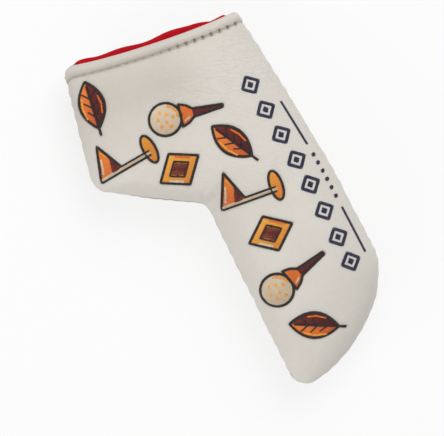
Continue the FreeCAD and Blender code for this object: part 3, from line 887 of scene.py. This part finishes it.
def lip_weights(piece, lip):
    """Bends a piece with a lip: fully in the middle of the mouth and not at all at its sewn ends."""
    start = place([*(fold_plan - mouth_out * FOLD_SOFTNESS), 0.0])
    end = place([*(fold_plan + mouth_out * FOLD_SOFTNESS), 0.0])
    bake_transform(piece, "cover_body", lip, tuple(start), tuple(end))
    spots = plan_places(piece)
    aside = np.abs((spots[:, :2] - mouth_middle) @ mouth_rise)
    taper = smooth((MOUTH_REACH - aside) / (MOUTH_REACH - LIP_FULL))
    weights = np.zeros(len(spots), np.float32)
    attribute = piece.data.attributes["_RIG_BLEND"]
    attribute.data.foreach_get("value", weights)
    attribute.data.foreach_set("value", (weights * taper).astype(np.float32))


def tuck_inner_wall(piece, outer, side):
    """Keeps the inside of the leather on its own side of the seam, and within the sewn edge."""
    rows, columns = outer.shape[:2]
    count = rows * columns
    spots = plan_places(piece)
    wall = spots[count:2 * count].reshape(rows, columns, 3)
    # Close to the seam the wall is set in towards the middle of the cover, a little further on.
    ahead = np.minimum(np.arange(rows) + 45, rows - 1)
    middle = outer[ahead][:, [0, -1]].mean(axis=1, keepdims=True)
    middle[..., 2] = SEAM_LEVEL + side * 6.0
    toward = middle - outer
    sewn = np.zeros((rows, columns), bool)
    sewn[:SET_IN_ROWS] = True
    sewn[:, :SET_IN_COLUMNS] = True
    sewn[:, -SET_IN_COLUMNS:] = True
    sewn[-OPEN_ROWS:] = False
    wall = np.where(sewn[..., None], outer + toward / lengths(toward) * LEATHER, wall)
    wall[..., 2] = own_side(wall[..., 2], side)
    spots[count:2 * count] = wall.reshape(-1, 3)
    piece.data.vertices.foreach_set("co", place(spots).astype(np.float32).ravel())
    piece.data.update()


def own_side(level, side):
    """Levels kept on their wall's side of the seam."""
    if side == FRONT:
        return np.maximum(level, SEAM_LEVEL)
    return np.minimum(level, SEAM_LEVEL)


def leather_cover(side):
    """A wall's leather with its hem, and the surface that its threads are laid on."""
    share, points = leather_grid(side, LEATHER_ROWS, LEATHER_COLUMNS)
    relief, shade, creased = leather_relief(side, share, points)
    moved = points + grid_normals(points, side) * relief[..., None]
    # The sewn edge is drawn in within the seam plane.
    edge = np.zeros(points.shape[:2], bool)
    edge[:, [0, -1]] = True
    edge[0, :] = True
    toward = points[:, [0, -1], :].mean(axis=1, keepdims=True) - points
    toward[..., 2] = 0.0
    moved = np.where(edge[..., None], points + toward / lengths(toward) * EDGE_PULL, moved)
    moved[..., 2] = np.where(edge, SEAM_LEVEL, moved[..., 2])
    moved[..., 2] = own_side(np.maximum(moved[..., 2], 0.0), side)
    faces = grid_faces(*moved.shape[:2], side == BACK)
    spots = [tuple(point) for point in place(moved.reshape(-1, 3))]
    piece = mesh_piece(NAMES[side] + "_cover", spots, faces, LEATHER_FINISH)
    # The painted shade goes with the leather as an attribute that darkens its colour.
    add_values(piece, "fold_shade", shade)
    add_values(piece, "creased", creased)
    thicken(piece, LEATHER)
    tuck_inner_wall(piece, moved, side)
    return piece, BVHTree.FromPolygons(spots, faces)


def wall_layer(name, side, depth, thickness, mouth_rows, finish, rows=90, columns=60, lap=0.0):
    """A plain layer under the leather. mouth_rows are its last rows, as distance in and depth,
    and lap is how far its sewn edges cross the seam, over the other wall's layer."""
    share = toe_to_mouth(depth, 1.0 - mouth_rows[0][0] / sole.length, rows)[:-1]
    shares = np.concatenate([share, [1.0 - distance / sole.length for distance, _ in mouth_rows]])
    depths = np.concatenate([np.full(len(share), depth), [level for _, level in mouth_rows]])
    points = wall_points(side, depths, shares, np.linspace(0, 1, columns))
    points[:, [0, -1], 2] -= side * lap
    return thicken(grid_piece(name, points, side == BACK, finish), thickness)


covers = {side: leather_cover(side) for side in NAMES}
SURFACES = {side: surface for side, (_, surface) in covers.items()}

# The last rows of each layer at the mouth: distance in, and depth
padding_end = [(12.0, PADDING_TOP + 0.1), (8.0, PADDING_TOP + 0.15), (6.2, PADDING_TOP + 0.3)]
paddings = {side: wall_layer(NAMES[side] + "_padding", side, PADDING_TOP, PADDING, padding_end,
                             FOAM_FINISH) for side in NAMES}
lining_end = {
    FRONT: [(6.0, LINING_TOP), (3.0, LINING_TOP), (1.0, LINING_TOP), (0.0, LINING_TOP + 0.1),
            (-0.4, LINING_TOP + 0.4)],
    BACK: [(6.0, LINING_TOP), (3.0, LINING_TOP), (1.2, LINING_TOP - 0.2), (0.3, LINING_TOP - 0.7),
           (-0.1, LINING_TOP - 1.3)],
}
linings = {side: wall_layer(NAMES[side] + "_lining_cloth", side, LINING_TOP, LINING,
                            lining_end[side], LINING_FINISH, 120, 90, LINING_LAP) for side in NAMES}

for side, prefix in NAMES.items():
    cover, padding, lining = covers[side][0], paddings[side], linings[side]
    for piece in (cover, padding, lining):
        lip_weights(piece, LIPS[side])
    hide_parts(prefix + "_outer_panel", prefix + "_lip_panel", prefix + "_hem",
                prefix + "_lip_hem")
    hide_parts(prefix + "_foam_pad", prefix + "_lip_foam")
    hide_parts(prefix + "_lining", prefix + "_lip_lining")


# ==== Threads: stitches are laid as short edges, and a node group sweeps them into round thread ====

def new_group(name, sockets):
    """A geometry node group with named inputs, its input node and a function that adds nodes."""
    group = bpy.data.node_groups.new(name, "GeometryNodeTree")
    for label, kind in (("Geometry", "NodeSocketGeometry"),) + sockets:
        group.interface.new_socket(label, in_out="INPUT", socket_type=kind)
    group.interface.new_socket("Geometry", in_out="OUTPUT", socket_type="NodeSocketGeometry")
    given = group.nodes.new("NodeGroupInput")

    def add(kind, settings=None, **sources):
        node = group.nodes.new(kind)
        for setting, choice in (settings or {}).items():
            setattr(node, setting, choice)
        for label, source in sources.items():
            socket = node.inputs[label.replace("_", " ")]
            if isinstance(source, bpy.types.NodeSocket):
                group.links.new(source, socket)
            else:
                socket.default_value = source
        return node

    return group, given.outputs, add


def finished(group, given, add, geometry):
    """Ends a group: one real mesh, shaded smooth, in the material that it is given."""
    real = add("GeometryNodeRealizeInstances", Geometry=geometry)
    smoothed = add("GeometryNodeSetShadeSmooth", Geometry=real.outputs[0])
    painted = add("GeometryNodeSetMaterial", Geometry=smoothed.outputs[0], Material=given["Material"])
    result = group.nodes.new("NodeGroupOutput")
    group.links.new(painted.outputs[0], result.inputs[0])
    return group


def thread_group():
    """Sweeps edges into round thread of a given radius."""
    group, given, add = new_group("thread_along_edges", (
        ("Thread Radius", "NodeSocketFloat"), ("Sides", "NodeSocketInt"),
        ("Material", "NodeSocketMaterial")))
    lines = add("GeometryNodeMeshToCurve", Mesh=given["Geometry"])
    ring = add("GeometryNodeCurvePrimitiveCircle", Resolution=given["Sides"],
               Radius=given["Thread Radius"])
    swept = add("GeometryNodeCurveToMesh", Curve=lines.outputs[0], Profile_Curve=ring.outputs[0],
                Fill_Caps=True)
    return finished(group, given, add, swept.outputs[0])


def pile_group():
    """Scatters small bent filaments over a surface: hooks, or the loops that they catch."""
    group, given, add = new_group("pile_of_filaments", (
        ("Density", "NodeSocketFloat"), ("Height", "NodeSocketFloat"), ("Bend", "NodeSocketFloat"),
        ("Thread Radius", "NodeSocketFloat"), ("Seed", "NodeSocketInt"),
        ("Material", "NodeSocketMaterial")))
    spots = add("GeometryNodeDistributePointsOnFaces", Mesh=given["Geometry"],
                Density=given["Density"], Seed=given["Seed"])
    arc = add("GeometryNodeCurveArc", Resolution=7, Radius=given["Height"],
              Start_Angle=0.0, Sweep_Angle=given["Bend"])
    upright = add("GeometryNodeTransform", Geometry=arc.outputs[0],
                  Rotation=(math.radians(90.0), 0.0, 0.0))
    ring = add("GeometryNodeCurvePrimitiveCircle", Resolution=5, Radius=given["Thread Radius"])
    filament = add("GeometryNodeCurveToMesh", Curve=upright.outputs[0],
                   Profile_Curve=ring.outputs[0], Fill_Caps=True)
    spin = add("FunctionNodeRandomValue", {"data_type": "FLOAT_VECTOR"}, Seed=given["Seed"])
    spin.inputs[0].default_value = (-0.25, -0.25, 0.0)
    spin.inputs[1].default_value = (0.25, 0.25, 2.0 * math.pi)
    turned = add("FunctionNodeRotateRotation", {"rotation_space": "LOCAL"},
                 Rotation=spots.outputs["Rotation"], Rotate_By=spin.outputs[0])
    placed = add("GeometryNodeInstanceOnPoints", Points=spots.outputs["Points"],
                 Instance=filament.outputs[0], Rotation=turned.outputs[0])
    return finished(group, given, add, placed.outputs[0])


THREAD_GROUP = thread_group()
PILE_GROUP = pile_group()


def apply_group(piece, group, **settings):
    """Runs a node group on a piece, with its inputs set by identifier, and keeps the result."""
    modifier = piece.modifiers.new(group.name, "NODES")
    modifier.node_group = group
    for item in group.interface.items_tree:
        label = item.name.replace(" ", "_")
        if item.in_out == "INPUT" and label in settings:
            modifier[item.identifier] = settings[label]
    return evaluated(piece)


class Stitches:
    """Stitches in one thread on one wall of the cover, laid on the leather."""

    PROFILE = ((0.0, -0.35), (0.16, 0.72), (0.5, 1.0), (0.84, 0.72), (1.0, -0.35))

    def __init__(self, side):
        self.side = side
        self.points = []
        self.edges = []
        self.tones = []
        self.chance = random.Random(7)

    def run(self, points, tone):
        """A stitch through points in space, in metres."""
        first = len(self.points)
        self.points.extend(points)
        self.edges.extend((first + step, first + step + 1) for step in range(len(points) - 1))
        self.tones.extend([min(max(tone, 0.0), 1.0)] * len(points))

    def on_leather(self, spot, height):
        """The point this high over the leather at a place in plan, or None beside the cover."""
        x, y, _ = place([spot[0], spot[1], 0.0])
        start = Vector((x, y, 0.1 * self.side))
        hit, normal, _, _ = SURFACES[self.side].ray_cast(start, Vector((0.0, 0.0, -self.side)))
        if hit is None:
            return None
        if normal.z * self.side < 0.0:
            normal = -normal
        return hit + normal * height * MM

    def stitch(self, start, end, lift, tone):
        points = [self.on_leather(start + (end - start) * part, lift * level)
                  for part, level in self.PROFILE]
        if None not in points:
            self.run(points, tone)

    def stops(self, start, end, row):
        """Where the stitches of a row begin and end; its ends are a little uneven."""
        start += self.chance.uniform(-0.1, 0.1)
        end += self.chance.uniform(-0.1, 0.1)
        stops = [start]
        brick = FILL_STITCH * (math.floor(start / FILL_STITCH) + (row % 3) / 3.0)
        while end - start > 1.6 * FILL_STITCH and brick < end - 1.0:
            if brick > start + 1.0:
                stops.append(brick)
            brick += FILL_STITCH
        return stops + [end]

    def fill(self, outline, angle, lift, tone_at):
        """Covers a shape with rows of stitches laid at an angle, staggered like brickwork."""
        turned = laid(outline, 0.0, 0.0, -angle)
        ends = np.roll(turned, -1, axis=0)
        rows = np.arange(turned[:, 1].min() + FILL_ROW / 2.0, turned[:, 1].max(), FILL_ROW)
        for row, level in enumerate(rows):
            crosses = (turned[:, 1] > level) != (ends[:, 1] > level)
            first, last = turned[crosses], ends[crosses]
            part = (level - first[:, 1]) / (last[:, 1] - first[:, 1])
            places = np.sort(first[:, 0] + part * (last[:, 0] - first[:, 0]))
            for start, end in zip(places[::2], places[1::2]):
                stops = self.stops(start, end, row)
                for one, two in zip(stops, stops[1:]):
                    left, right = laid(np.array([[one, level], [two, level]]), 0.0, 0.0, angle)
                    tone = tone_at((left + right) / 2.0) + self.chance.uniform(-0.16, 0.16)
                    self.stitch(left, right, lift, tone)

    def column(self, path, closed, width, lift):
        """A satin column: short stitches across a path, close together along it."""
        loop = np.concatenate([path, path[:1]]) if closed else path
        reach = np.concatenate([[0.0], np.cumsum(np.linalg.norm(np.diff(loop, axis=0), axis=1))])

        def at(distance):
            distance = distance % reach[-1] if closed else distance
            return np.array([np.interp(distance, reach, loop[:, axis]) for axis in (0, 1)])

        count = max(2, int(reach[-1] / COLUMN_PITCH))
        for step in range(count):
            distance = reach[-1] * step / count
            heading = at(distance + 0.5) - at(distance - 0.5)
            if np.linalg.norm(heading) < 1e-6:
                continue
            heading = unit(heading)
            normal = np.array([-heading[1], heading[0]])
            half = width / 2.0 * (1.0 + self.chance.uniform(-0.10, 0.10))
            start = at(distance) - normal * half
            end = at(distance) + normal * half + heading * COLUMN_PITCH / 2.0
            self.stitch(start, end, lift, self.chance.uniform(0.2, 0.9))

    def sewn(self, name, radius, finish, sides=5):
        """The thread itself, as one mesh."""
        piece = mesh_piece(name, self.points, [], edges=self.edges)
        add_values(piece, "thread_tone", self.tones)
        return apply_group(piece, THREAD_GROUP, Thread_Radius=radius * MM, Sides=sides,
                           Material=finish)


def motif_tone(x, y, turn):
    """How light the thread is over a motif: darker along one flank, and lighter on the other."""
    def tone(spot):
        local = laid(np.array([spot]) - np.array([x, y]), 0.0, 0.0, -turn)[0]
        return 0.5 + 0.075 * local[0] + 0.02 * local[1]
    return tone


def embroider(side):
    """Sews the motifs of a wall: fills first, then highlights and the dark outlines over them."""
    threads = {name: Stitches(side) for name in ("orange", "amber", "maroon", "cream", "black")}
    for kind, x, y, turn in MOTIFS[side]:
        design = DESIGNS[kind]
        tone = motif_tone(x, y, turn)
        for thread, outline, angle, lift in design["fills"]:
            threads[thread].fill(laid(outline, x, y, turn), angle + turn, lift, tone)
        for thread, line, width in design["accents"]:
            threads[thread].column(laid(line, x, y, turn), False, width, ACCENT_LIFT)
        for line, closed, width in design["lines"]:
            threads["black"].column(laid(line, x, y, turn), closed, width, OUTLINE_LIFT)
    return threads


def beside_sole(share, inset_by):
    """A place inside the sole's seam, and the seam's heading there."""
    heading = sole.heading(share)
    return sole.point(share) + np.array([-heading[1], heading[0]]) * inset_by, heading


def even_tone(spot):
    return 0.4


def border():
    """A row of lozenges along the sole, over a thin rule broken by a row of dots."""
    threads = Stitches(FRONT)
    count = int(sole.length * (BORDER_END - BORDER_START) / BORDER_PITCH)
    for step in range(count + 1):
        share = BORDER_START + (BORDER_END - BORDER_START) * step / count
        middle, heading = beside_sole(share, BORDER_INSET)
        turn = math.degrees(math.atan2(heading[1], heading[0]))
        corners = shape((0, -1), (1, 0), (0, 1), (-1, 0))
        threads.column(laid(corners * LOZENGE_HALF, *middle, turn), True, 1.25, 0.42)
        threads.fill(laid(corners * 1.5, *middle, turn), turn + 90.0, 0.3, even_tone)
    centre = (RULE_START + RULE_END) / 2.0
    for start, end in ((RULE_START, centre - RULE_BREAK / 2.0),
                       (centre + RULE_BREAK / 2.0, RULE_END)):
        path = np.array([beside_sole(start + (end - start) * step / 12.0, RULE_INSET)[0]
                         for step in range(13)])
        threads.column(path, False, 0.8, 0.34)
    dots = int(RULE_BREAK * sole.length / DOT_PITCH) - 1
    for step in range(dots):
        share = centre + (step - (dots - 1) / 2.0) * DOT_PITCH / sole.length
        middle, _ = beside_sole(share, RULE_INSET)
        threads.fill(circle(*middle, 0.85, 16), 40.0, 0.32, even_tone)
    return threads


def mouth_line(side, depth, distance, across, wanted):
    """Points of a wall at a depth and a distance in from the mouth, this far along the mouth."""
    line = wall_points(side, [depth], [1.0 - distance / sole.length], across)[0]
    along = (line[:, :2] - mouth_middle) @ mouth_rise
    return np.stack([np.interp(wanted, along, line[:, axis]) for axis in range(3)], -1)


def hem_topstitch(side):
    """Dashes of topstitching in the groove beside the hem."""
    across = np.linspace(0.03, 0.97, 1200)
    starts = np.arange(TOPSTITCH_FIRST, -TOPSTITCH_FIRST, TOPSTITCH_PITCH)
    length = TOPSTITCH_PITCH - TOPSTITCH_GAP
    dashes = [place(mouth_line(side, GROOVE_DEPTH - height, GROOVE_AT, across, starts + length * part))
              for part, height in TOPSTITCH_PROFILE]
    threads = Stitches(side)
    for dash in zip(*dashes):
        threads.run(dash, threads.chance.uniform(0.3, 0.8))
    return threads


MOTIF_NODES = {FRONT: ("front_flag_motifs", "front_tee_motifs", "front_leaf_motifs",
                       "front_diamond_motifs"),
               BACK: ("back_motifs",)}
for side, prefix in NAMES.items():
    for name, stitches in embroider(side).items():
        piece = stitches.sewn(prefix + "_" + name + "_embroidery", EMBROIDERY_THREAD, THREADS[name])
        lip_weights(piece, LIPS[side])
        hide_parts(*MOTIF_NODES[side])
        "navy_thread" if name == "black" else name + "_thread"

border_threads = border().sewn("front_border_embroidery", EMBROIDERY_THREAD, THREADS["navy"])
lip_weights(border_threads, "front_lip")
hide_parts("front_border")

for side, prefix in NAMES.items():
    piece = hem_topstitch(side).sewn(prefix + "_hem_topstitch", SEWING_THREAD, SEWING_FINISH, 8)
    lip_weights(piece, LIPS[side])
    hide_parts(prefix + "_hem_stitches", prefix + "_lip_hem_stitches")


# ==== Hook and loop closure on the inner faces of the lips ====

# The pile of each tape: filaments per square metre, their height, bend and radius, and a seed
PILES = {FRONT: ("hook_tape", 9.0e5, 0.42, 225, 0.09, 3),
         BACK: ("loop_tape", 1.6e6, 0.36, 175, 0.06, 4)}


def strip_points(side, depth, inset_by, rows, columns):
    """Points at a depth in the wall over the tape's place, or over less than that all round."""
    half_span = TAPE_SPAN / 2.0 - inset_by
    wanted = np.linspace(-half_span, half_span, columns)
    across = np.linspace(0.02, 0.98, 400)
    return np.array([mouth_line(side, depth, distance, across, wanted)
                     for distance in np.linspace(TAPE_FAR - inset_by, TAPE_NEAR + inset_by, rows)])


def closure(side):
    """A nylon tape: its band, the hooks or loops on it, and the stitching round its edge."""
    name, density, height, bend, radius, seed = PILES[side]
    face = TAPE_TOP + TAPE
    band = grid_piece(name + "_band", strip_points(side, TAPE_TOP, 0.0, 14, 44), side == BACK,
                      TAPE_FINISH)
    thicken(band, TAPE)
    pile = grid_piece(name + "_pile", strip_points(side, face - 0.05, 1.2, 10, 40), side == FRONT)
    apply_group(pile, PILE_GROUP, Density=density, Height=height * MM, Bend=math.radians(bend),
                Thread_Radius=radius * MM, Seed=seed, Material=TAPE_FINISH)
    threads = Stitches(side)
    for line in strip_points(side, face + 0.1, 0.7, 2, 78):
        for start in range(0, 75, 4):
            threads.run([place(point) for point in line[start:start + 4]], 0.5)
    sewn = threads.sewn(name + "_sewing", EMBROIDERY_THREAD, THREADS["black"])
    for piece in (band, pile, sewn):
        lip_weights(piece, LIPS[side])
        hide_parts(name + "_stitches" if piece == sewn else name)
        "seam_thread" if piece == sewn else name


for side in NAMES:
    closure(side)

for holder in frame["nodes"]["perimeter_seam_stitches"].material_slots:
    holder.material = SEWING_FINISH


# ==== Stage, light and camera ====

def stage():
    """A pale floor that glows a little for the camera alone, and keeps the cover's shadow."""
    finish = Finish("pale_floor", Roughness=0.9, Base_Color=(0.86, 0.86, 0.86, 1))
    seen = finish.value("ShaderNodeLightPath", output="Is Camera Ray")
    glow = finish.node("ShaderNodeEmission", None, {"Color": (1, 1, 1, 1), "Strength": 1.0})
    blend = finish.node("ShaderNodeMixShader", None, {
        "Fac": seen * 0.75, 1: finish.shader.outputs[0], 2: glow.outputs[0]})
    finish.feed(finish.tree.nodes["Material Output"].inputs["Surface"], blend.outputs[0])
    corners = [(x * FLOOR_HALF, y * FLOOR_HALF, 0) for x, y in ((-1, -1), (1, -1), (1, 1), (-1, 1))]
    floor = mesh_piece("floor", corners, [(0, 1, 2, 3)], finish.material)


def light(name, position, size, power):
    lamp = bpy.data.lights.new(name, "AREA")
    lamp.shape = "SQUARE"
    lamp.size = size
    lamp.energy = power
    piece = bpy.data.objects.new(name, lamp)
    piece.location = position
    piece.rotation_euler = (-Vector(position)).to_track_quat("-Z", "Y").to_euler()
    bpy.context.scene.collection.objects.link(piece)


def studio():
    light("sole_softbox", (0.42, -0.52, 0.90), 0.8, 7.2)
    light("neck_fill", (-0.3, 0.9, 0.55), 0.9, 5.0)
    world = bpy.data.worlds.new("studio")
    world.use_nodes = True
    background = world.node_tree.nodes["Background"]
    background.inputs["Color"].default_value = (1.0, 1.0, 1.0, 1.0)
    background.inputs["Strength"].default_value = 0.50
    bpy.context.scene.world = world
    bpy.context.scene.view_settings.view_transform = "Standard"


def camera():
    """Straight over the cover, turned so that the mouth is at the upper left."""
    across = Vector((-0.431, -0.902, 0.0)).normalized()
    upward = Vector((-across.y, across.x, 0.0))
    lens = bpy.data.cameras.new("camera")
    lens.lens = LENS
    lens.sensor_width = SENSOR
    eye = bpy.data.objects.new("camera", lens)
    low, high = cad_box
    middle = Vector(((low[0] + high[0]) / 2, (low[1] + high[1]) / 2, 0))
    middle -= across * AIM[0] + upward * AIM[1]
    turned = Matrix((across, upward, Vector((0.0, 0.0, 1.0)))).transposed()
    place_over = Matrix.Translation(middle + Vector((0.0, 0.0, EYE_HEIGHT)))
    eye.matrix_world = place_over @ turned.to_4x4()
    bpy.context.scene.collection.objects.link(eye)
    bpy.context.scene.camera = eye


stage()
studio()
camera()
